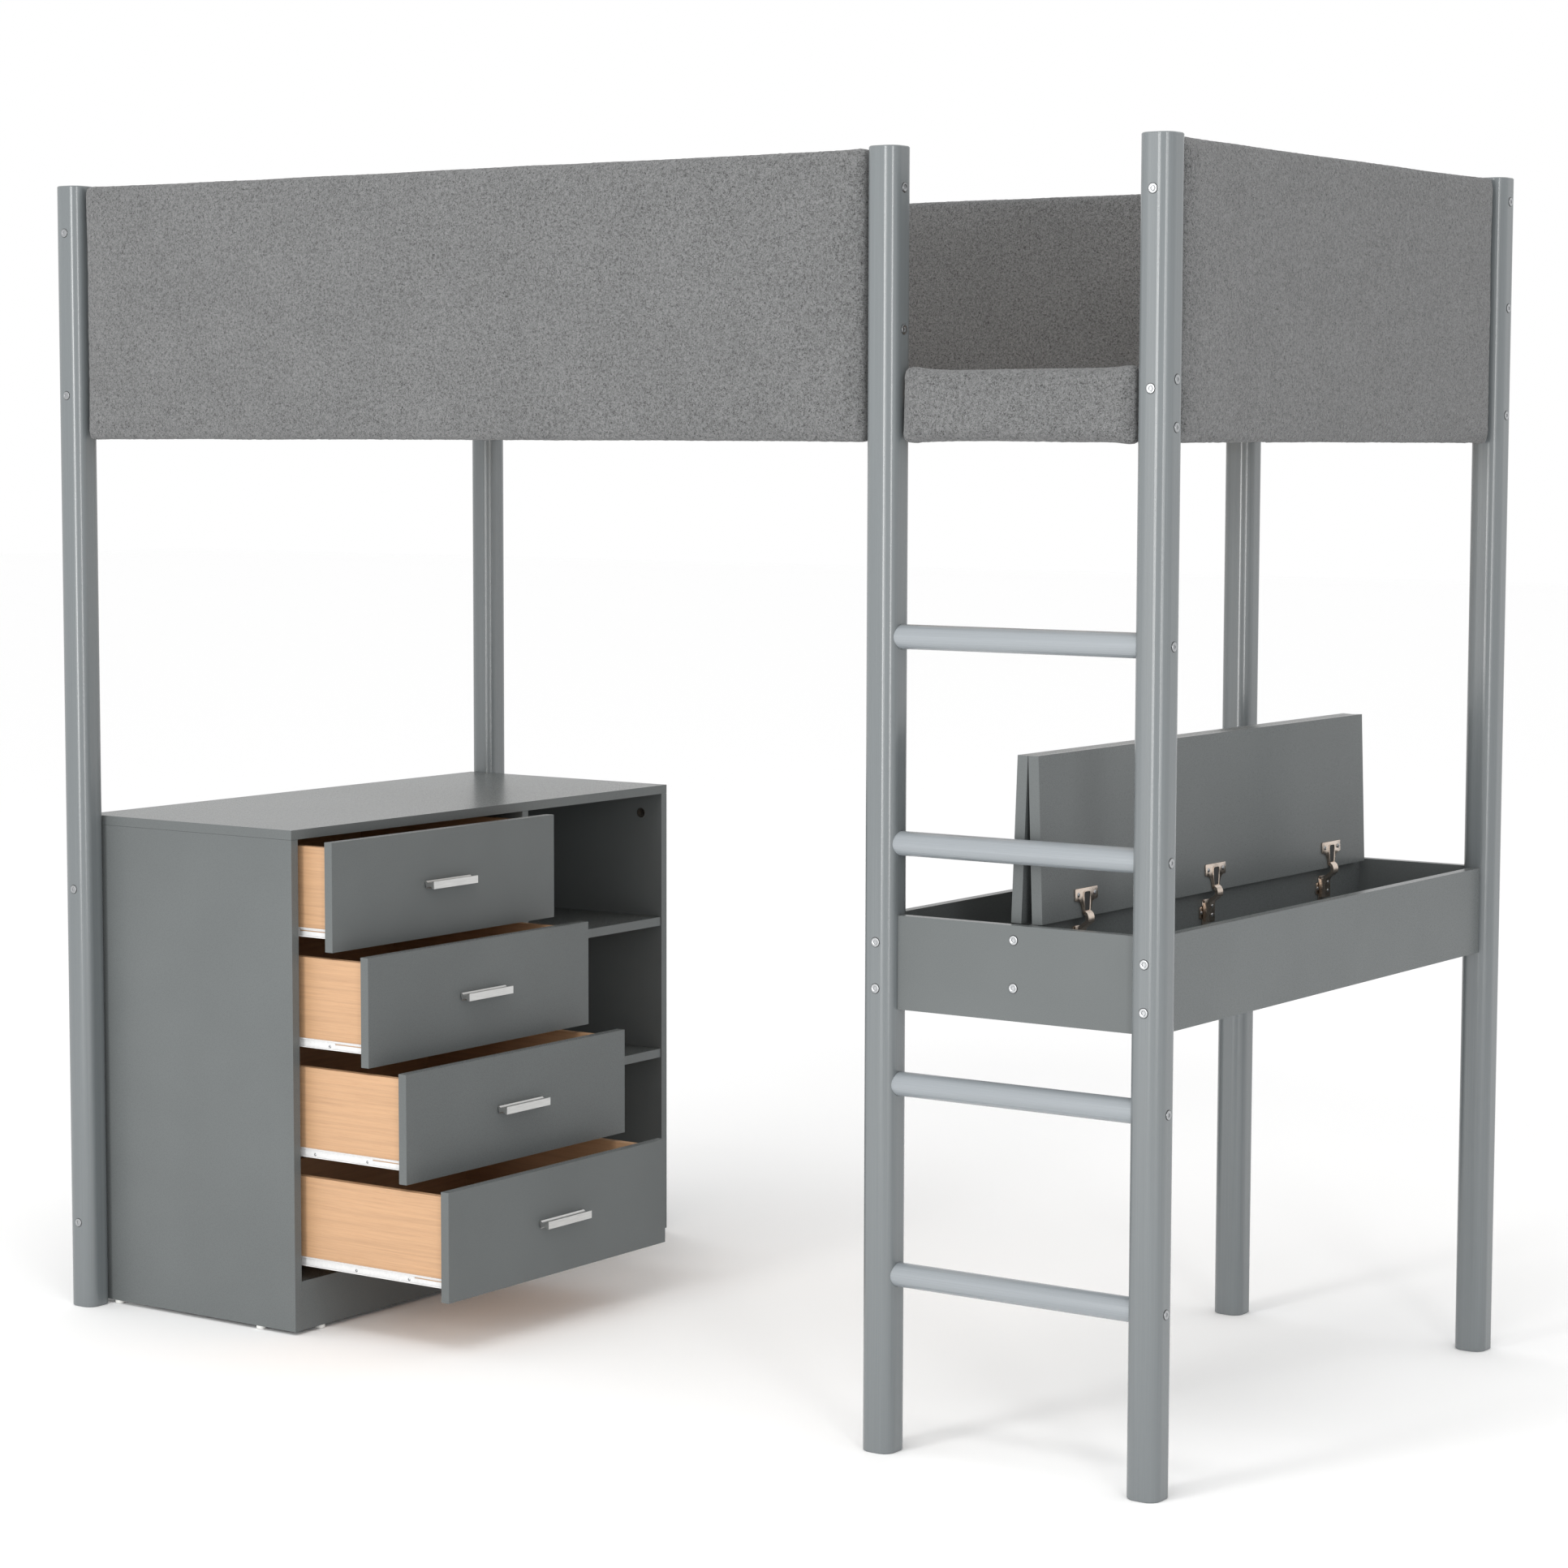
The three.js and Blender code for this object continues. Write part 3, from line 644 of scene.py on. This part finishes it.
def add_channel(bm, path, side, y):
    """A bent steel channel: a web along the path and two cheeks turned in towards the divider."""
    half = ARM_WIDE / 2
    section = [
        (-half, 0.6 * MM), (half, 0.6 * MM), (half, -CHEEK_DEEP), (half - ARM_THICK, -CHEEK_DEEP),
        (half - ARM_THICK, -0.6 * MM), (-half + ARM_THICK, -0.6 * MM), (-half + ARM_THICK, -CHEEK_DEEP),
        (-half, -CHEEK_DEEP),
    ]
    rings = []
    for i, point in enumerate(path):
        along = (path[min(i + 1, len(path) - 1)] - path[max(i - 1, 0)]).normalized()
        outward = Vector((0, 1, 0)).cross(along) * -side
        if outward.x * side < 0:
            outward = -outward
        ring = [bm.verts.new(point + Vector((0, y + across, 0)) + outward * out) for across, out in section]
        rings.append(ring)
    join_loops(bm, rings, 0)


def add_base(bm, side, y):
    """A mounting plate with its wings, its screws, and the arm that is clamped on it."""
    turn = Matrix.Rotation(side * math.pi / 2, 4, "Y")
    face = Matrix.Translation((DESK_X + side * BASE_FACE, y, BASE_MIDDLE_Z)) @ turn
    high, wide, waist = BASE_HALF_HIGH, BASE_HALF_WIDE, BASE_WAIST
    outline = [
        (-high, -waist), (-10 * MM, -waist), (-8 * MM, -wide), (8 * MM, -wide), (10 * MM, -waist),
        (high, -waist), (high, waist), (10 * MM, waist), (8 * MM, wide), (-8 * MM, wide),
        (-10 * MM, waist), (-high, waist),
    ]
    add_prism(bm, outline, BASE_THICK, face, 0.4 * MM)
    clamp = rectangle((-CLAMP_HALF_HIGH, -CLAMP_HALF_WIDE), (CLAMP_HALF_HIGH, CLAMP_HALF_WIDE))
    add_prism(bm, clamp, CLAMP_RISE, face, 0.6 * MM)
    for across in (-BASE_SCREW_Y, BASE_SCREW_Y):
        add_screw(bm, face @ Matrix.Translation((0, across, BASE_THICK)), 3.0 * MM, material=2)
    for along in ARM_SCREWS:
        add_screw(bm, face @ Matrix.Translation((along, 0, ARM_SCREW_RISE)), 2.8 * MM, material=2)
    add_channel(bm, arm_path(side), side, y)
    eye = Matrix.Translation((DESK_X + side * PIVOT_X, y - ARM_WIDE / 2, PIVOT_Z))
    barrel = eye @ Matrix.Rotation(-math.pi / 2, 4, "X")
    add_rings(bm, [(EYE_RADIUS, 0, False), (EYE_RADIUS, ARM_WIDE, False)], barrel, sides=20)


def make_hinges(materials):
    finish = [materials["nickel"], materials["painted_shade"], materials["zinc"], materials["board"]]
    for station, y in HINGE_Y.items():
        bm = bmesh.new()
        add_base(bm, 1, y)
        add_base(bm, -1, y)
        base = new_piece(f"hinge_arms_{station}", bm, finish, "bed")
        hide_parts(f"hinge_base_{station}")
        for side in ("right", "left"):
            bm = bmesh.new()
            own_y = y if side == "right" else -y
            add_cup_cover(bm, lid_place(side) @ Matrix.Translation((0, own_y, 0)))
            cover = new_piece(f"hinge_cover_{side}_{station}", bm, finish, f"lid_{side}_body")
            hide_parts(f"hinge_cup_{side}_{station}")


# ---- drawer slides ----

SLIDE_TALL = 13 * MM
SLIDE_THICK = 1.2 * MM
SLIDE_LIP = 4 * MM
FRONT_DEEP = 17 * MM  # a shut drawer front takes up this much behind the cabinet's front edge
CABINET_MEMBER_BACK = 400 * MM
SLOT_LONG = 58 * MM
SLOT_BOTTOM, SLOT_TOP = 7.4 * MM, 9.0 * MM
SLOT_END = 3 * MM  # metal left between the slot and the plate's front end
UNDER_FLANGE = 8 * MM
UNDER_GAP = 0.2 * MM
MEMBER_LOW, MEMBER_HIGH = -3 * MM, 17 * MM
MEMBER_LIP = 6 * MM
SLIDE_EDGE = 0.2 * MM
SLIDE_SCREW = 2.4 * MM


def add_drawer_member(bm, side, face, low, front, back):
    """The rail on a drawer box: a plate with a slot near its front, a lip, and a flange below."""

    def block(x_low, x_high, out_low, out_high, z_low, z_high):
        ys = sorted((face + side * out_low, face + side * out_high))
        add_block(bm, (x_low, ys[0], low + z_low), (x_high, ys[1], low + z_high), SLIDE_EDGE)

    slot_back = front - SLOT_END - SLOT_LONG
    block(back, slot_back, 0, SLIDE_THICK, -SLIDE_THICK, SLIDE_TALL)
    block(slot_back, front, 0, SLIDE_THICK, -SLIDE_THICK, SLOT_BOTTOM)
    block(slot_back, front, 0, SLIDE_THICK, SLOT_TOP, SLIDE_TALL)
    block(front - SLOT_END, front, 0, SLIDE_THICK, SLOT_BOTTOM, SLOT_TOP)
    block(back, front, SLIDE_THICK, SLIDE_LIP, SLIDE_TALL - SLIDE_THICK, SLIDE_TALL)
    block(back, front, SLIDE_THICK, SLIDE_LIP, -SLIDE_THICK, 0)
    block(back, front, -UNDER_FLANGE, 0, -SLIDE_THICK - UNDER_GAP, -UNDER_GAP)
    for share in (0.18, 0.45, 0.8):
        x = front + (back - front) * share
        place = facing((0, side, 0), (x, face + side * SLIDE_THICK, low + 4 * MM))
        add_screw(bm, place, SLIDE_SCREW, material=1)


def add_cabinet_member(bm, side, face, low):
    """The rail on the cabinet: a plate with two lips turned in."""
    front, back = CAB_FRONT - FRONT_DEEP, CAB_FRONT - CABINET_MEMBER_BACK
    inward = -side

    def block(out_low, out_high, z_low, z_high):
        ys = sorted((face + inward * out_low, face + inward * out_high))
        add_block(bm, (back, ys[0], low + z_low), (front, ys[1], low + z_high), SLIDE_EDGE)

    block(0, SLIDE_THICK, MEMBER_LOW, MEMBER_HIGH)
    block(SLIDE_THICK, MEMBER_LIP, MEMBER_HIGH - SLIDE_THICK, MEMBER_HIGH)
    block(SLIDE_THICK, MEMBER_LIP, MEMBER_LOW, MEMBER_LOW + SLIDE_THICK)
    for share in (0.08, 0.5, 0.92):
        x = front + (back - front) * share
        place = facing((0, inward, 0), (x, face + inward * SLIDE_THICK, low + 7 * MM))
        add_screw(bm, place, SLIDE_SCREW, material=1)


def make_slides(materials):
    finish = [materials["steel"], materials["zinc"]]
    for index in (1, 2, 3, 4):
        low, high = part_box(f"drawer_{index}_box")
        bm = bmesh.new()
        add_drawer_member(bm, -1, low.y, low.z, high.x, low.x + 3 * MM)
        add_drawer_member(bm, 1, high.y, low.z, high.x, low.x + 3 * MM)
        new_piece(f"drawer_{index}_slides", bm, finish, f"drawer_{index}_body")
        bm = bmesh.new()
        add_cabinet_member(bm, -1, -CAB_SIDE, low.z)
        add_cabinet_member(bm, 1, DIVISION_FACE, low.z)
        new_piece(f"cabinet_slides_{index}", bm, finish, "bed")


# ---- small cabinet fittings ----

GLIDE_RADIUS = 8 * MM
GLIDE_TALL = 5.9 * MM
GLIDES = {
    "front": [(-946, -479.7), (-637, -479.7), (-566.5, -421)],
    "back": [(-946, 479.7), (-637, 479.7), (-566.5, 421)],
}


def make_glides(materials):
    for name, places in GLIDES.items():
        bm = bmesh.new()
        for x, y in places:
            rings = [
                (GLIDE_RADIUS - 1.2 * MM, 0.05 * MM, False),
                (GLIDE_RADIUS, 1.2 * MM, False),
                (GLIDE_RADIUS, GLIDE_TALL, False),
            ]
            add_rings(bm, rings, Matrix.Translation((x * MM, y * MM, 0)))
        new_piece(f"cabinet_glides_{name}", bm, [materials["glide"]], "bed")


CAM_NUTS = [(-603, 472.2, 745, -1), (-953, 472.2, 745, -1), (-603, 98.5, 745, 1), (-953, 98.5, 745, 1)]


def make_cam_nuts(materials):
    """Round fittings that hold the cabinet's top to its sides, seen inside the open half."""
    bm = bmesh.new()
    for x, y, z, direction in CAM_NUTS:
        rings = [
            (8.5 * MM, -0.3 * MM, False),
            (8.5 * MM, 0.5 * MM, False),
            (7.2 * MM, 0.8 * MM, False),
            (6.4 * MM, 0.5 * MM, False),
            (2.4 * MM, 0.5 * MM, True),
            (2.4 * MM, 0.1 * MM, True),
        ]
        add_rings(bm, rings, facing((0, direction, 0), (x * MM, y * MM, z * MM)))
    new_piece("cabinet_cams", bm, [materials["nickel"]], "bed")


# ---- padding ----

VOXEL = 8 * MM
FACE_INSET = 4.5 * MM  # how far a pad's two wide faces start inside its space
EDGE_INSET = 0.5 * MM  # the same for its narrow sides, which pull in as it swells
START_ROUND = 8 * MM
SWELL_CAP = 5.2 * MM
PRESSURE = 4.0
LAST_FRAME = 20
PILE_SIZE = 5.5 * MM
PILE_RISE = 0.7 * MM
SWAY_SIZE = 130 * MM
SWAY_RISE = 0.9 * MM

# shape: the pads that share it
PADS = {
    "long": ["pad_front_long", "pad_back_long"],
    "end": ["pad_left_end", "pad_right_end"],
    "short": ["pad_back_short"],
    "low": ["pad_ladder_low"],
}


def pad_start(size):
    """A rounded block, remeshed evenly, centred on the origin."""
    bm = bmesh.new()
    thin = min(size)
    half = [length / 2 - (FACE_INSET if length == thin else EDGE_INSET) for length in size]
    add_block(bm, [-length for length in half], half)
    bmesh.ops.remove_doubles(bm, verts=bm.verts, dist=0.01 * MM)
    bmesh.ops.recalc_face_normals(bm, faces=bm.faces)
    bmesh.ops.bevel(bm, geom=bm.edges[:], offset=START_ROUND, segments=4, affect="EDGES", profile=0.5)
    data = bpy.data.meshes.new("pad_start")
    bm.to_mesh(data)
    bm.free()
    piece = bpy.data.objects.new("pad_start", data)
    bpy.context.scene.collection.objects.link(piece)
    remesh = piece.modifiers.new("remesh", "REMESH")
    remesh.mode = "VOXEL"
    remesh.voxel_size = VOXEL
    apply_modifiers(piece)
    return piece


def apply_modifiers(piece):
    """Keeps what the modifiers make of a piece as its plain mesh."""
    graph = bpy.context.evaluated_depsgraph_get()
    graph.update()
    made = bpy.data.meshes.new_from_object(piece.evaluated_get(graph))
    piece.modifiers.clear()
    old = piece.data
    piece.data = made
    bpy.data.meshes.remove(old)


def blow_up(piece):
    """Blows a pad up as cloth, with no point moving further than the cap."""
    start = [vertex.co.copy() for vertex in piece.data.vertices]
    cloth = piece.modifiers.new("cloth", "CLOTH")
    settings = cloth.settings
    settings.quality = 4
    settings.mass = 0.3
    settings.tension_stiffness = 12
    settings.compression_stiffness = 12
    settings.bending_stiffness = 0.8
    settings.use_pressure = True
    settings.uniform_pressure_force = PRESSURE
    settings.effector_weights.gravity = 0
    cloth.point_cache.frame_start = 1
    cloth.point_cache.frame_end = LAST_FRAME
    scene = bpy.context.scene
    for number in range(1, LAST_FRAME + 1):
        scene.frame_set(number)
    apply_modifiers(piece)
    scene.frame_set(1)
    for vertex, before in zip(piece.data.vertices, start):
        move = vertex.co - before
        if move.length > SWELL_CAP:
            vertex.co = before + move.normalized() * SWELL_CAP


def subdivide_once(piece):
    subdivision = piece.modifiers.new("subdivision", "SUBSURF")
    subdivision.levels = 1
    subdivision.render_levels = 1
    apply_modifiers(piece)


def ruffle(piece, middle, low, high):
    """Stands the pile up unevenly and lets the cloth sway a little, inside the pad's space."""
    normals = [vertex.normal.copy() for vertex in piece.data.vertices]
    for vertex, normal in zip(piece.data.vertices, normals):
        point = vertex.co + middle
        pile = noise.noise(point / PILE_SIZE)
        sway = noise.noise(point / SWAY_SIZE)
        vertex.co += normal * (PILE_RISE * pile + SWAY_RISE * sway)
    for vertex in piece.data.vertices:
        for axis in range(3):
            vertex.co[axis] = min(max(vertex.co[axis], low[axis] - middle[axis]), high[axis] - middle[axis])


def place_pad(name, shape, material, low, high):
    """A pad of its own, made from the shape it shares, in its node's space."""
    middle = (low + high) / 2
    piece = bpy.data.objects.new(f"cushion_{name}", shape.data.copy())
    bpy.context.scene.collection.objects.link(piece)
    ruffle(piece, middle, low, high)
    piece.data.transform(Matrix.Translation(middle))
    piece.data.materials.clear()
    piece.data.materials.append(material)
    piece.data.shade_smooth()
    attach(piece, "bed")
    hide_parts(name)


def make_pads(material):
    for names in PADS.values():
        low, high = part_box(names[0])
        shape = pad_start(high - low)
        blow_up(shape)
        subdivide_once(shape)
        for name in names:
            place_pad(name, shape, material, *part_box(name))
        bpy.data.objects.remove(shape)


# ---- the scene ----


def make_floor():
    bm = bmesh.new()
    half = FLOOR_HALF
    corners = [bm.verts.new((x, y, 0)) for x, y in rectangle((-half, -half), (half, half))]
    bm.faces.new(corners)
    data = bpy.data.meshes.new("floor")
    bm.to_mesh(data)
    bm.free()
    data.materials.append(Surface("floor", FLOOR_COLOUR, 0.9).material)
    floor = bpy.data.objects.new("floor", data)
    bpy.context.scene.collection.objects.link(floor)


make_camera()
make_world()
for name, values in SOFTBOXES.items():
    make_softbox(name, *values)
make_floor()
materials = make_materials()
dress_frame(materials)
make_pads(materials["cloth"])
make_bolts(materials)
make_hinges(materials)
make_slides(materials)
make_glides(materials)
make_cam_nuts(materials)
